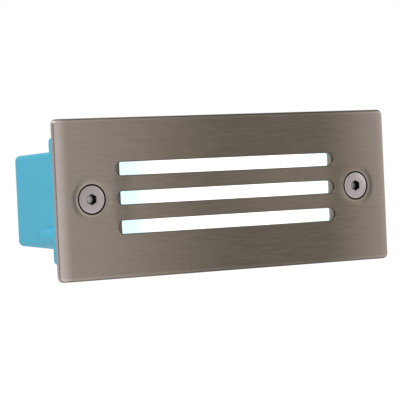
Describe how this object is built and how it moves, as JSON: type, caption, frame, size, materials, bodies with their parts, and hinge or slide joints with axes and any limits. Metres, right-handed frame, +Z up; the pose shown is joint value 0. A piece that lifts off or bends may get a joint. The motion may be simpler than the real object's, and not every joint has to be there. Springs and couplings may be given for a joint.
{
  "type": "step light",
  "caption": "Recessed step light: brushed steel face plate with horizontal slots lit by an opal ribbed lens, two socket screws and a moulded wall box with a cable gland.",
  "frame": {"origin": "middle of the wall opening, in the plane of the wall's face", "axes": "+X along the face plate, +Y into the wall, +Z up; the plate faces -Y"},
  "size_m": [0.17, 0.0871, 0.07],
  "materials": {
    "plate_steel": "brushed stainless steel, warm grey, grain along the plate",
    "screw_steel": "satin stainless steel",
    "opal": "opal diffuser, lit from behind",
    "blue_plastic": "moulded, fine matt surface",
    "black_foam": "closed-cell foam",
    "clear_silicone": "milky silicone",
    "black_rubber": "matt rubber",
    "black_nylon": "moulded nylon",
    "zinc_steel": "bright zinc plate",
    "brass": "machined brass",
    "aluminium": "plain mill finish",
    "white_plastic": "white moulding",
    "cream_plastic": "natural moulding",
    "white_board": "white solder resist",
    "green_board": "green solder resist",
    "led_package": "yellow phosphor",
    "ferrite": "sintered ferrite",
    "yellow_tape": "taped winding",
    "capacitor_sleeve": "shrunk sleeve",
    "yellow_case": "moulded case",
    "blue_lead": "insulation",
    "brown_lead": "insulation",
    "black_lead": "insulation",
    "red_lead": "insulation"
  },
  "bodies": {
    "recess_box": {"housing": "blue_plastic", "thread_inserts": "brass", "fixing_grommets": "black_rubber", "gear_plate": "aluminium", "gear_plate_screws": "zinc_steel", "light_box": "white_plastic", "led_board": "white_board", "leds": "led_package", "led_board_screws": "zinc_steel", "driver_board": "green_board", "driver_stand_offs": "brass", "driver_screws": "zinc_steel", "transformer_core": "ferrite", "transformer_winding": "yellow_tape", "driver_capacitors": "capacitor_sleeve", "filter_capacitor": "yellow_case", "driver_choke": "ferrite", "supply_connector": "white_plastic", "output_connector": "white_plastic", "terminal_block": "cream_plastic", "terminal_cages": "brass", "terminal_screws": "zinc_steel", "terminal_fixing_screws": "zinc_steel", "neutral_lead": "blue_lead", "live_lead": "brown_lead", "led_lead_negative": "black_lead", "led_lead_positive": "red_lead", "gland_body": "black_nylon", "gland_seal": "black_rubber", "entry_washers": "black_rubber", "entry_locknuts": "black_nylon", "blanking_plug": "black_nylon"},
    "cover": {"face_plate": "plate_steel", "face_gasket": "black_foam", "lens_gasket": "clear_silicone", "lens": "opal", "lens_nuts": "zinc_steel"},
    "left_ring": {"left_retaining_ring": "black_rubber"},
    "left_screw": {"left_cover_screw": "screw_steel"},
    "right_ring": {"right_retaining_ring": "black_rubber"},
    "right_screw": {"right_cover_screw": "screw_steel"},
    "gland_washer": {"gland_slip_washer": "white_plastic"},
    "gland_nut": {"gland_cap_nut": "black_nylon"}
  },
  "joints": [
    {"name": "cover_lift", "type": "slide", "parent": "recess_box", "child": "cover", "axis": [0, -1, 0], "range_m": [0, 0.06]},
    {"name": "left_screw_travel", "type": "slide", "parent": "cover", "child": "left_ring", "axis": [0, -1, 0], "range_m": [0, 0.008]},
    {"name": "left_screw_turn", "type": "hinge", "parent": "left_ring", "child": "left_screw", "pos_m": [-0.068, 0, 0], "axis": [0, -1, 0], "range_deg": [0, 2880]},
    {"name": "right_screw_travel", "type": "slide", "parent": "cover", "child": "right_ring", "axis": [0, -1, 0], "range_m": [0, 0.008]},
    {"name": "right_screw_turn", "type": "hinge", "parent": "right_ring", "child": "right_screw", "pos_m": [0.068, 0, 0], "axis": [0, -1, 0], "range_deg": [0, 2880]},
    {"name": "gland_nut_travel", "type": "slide", "parent": "recess_box", "child": "gland_washer", "axis": [0, 1, 0], "range_m": [0, 0.006]},
    {"name": "gland_nut_turn", "type": "hinge", "parent": "gland_washer", "child": "gland_nut", "pos_m": [0.018, 0.07, 0], "axis": [0, 1, 0], "range_deg": [0, 1440]}
  ],
  "couplings": [
    {"joint": "left_screw_turn", "follows": "left_screw_travel", "rad_per_m": 6283.2},
    {"joint": "right_screw_turn", "follows": "right_screw_travel", "rad_per_m": 6283.2},
    {"joint": "gland_nut_turn", "follows": "gland_nut_travel", "rad_per_m": 4188.8}
  ]
}
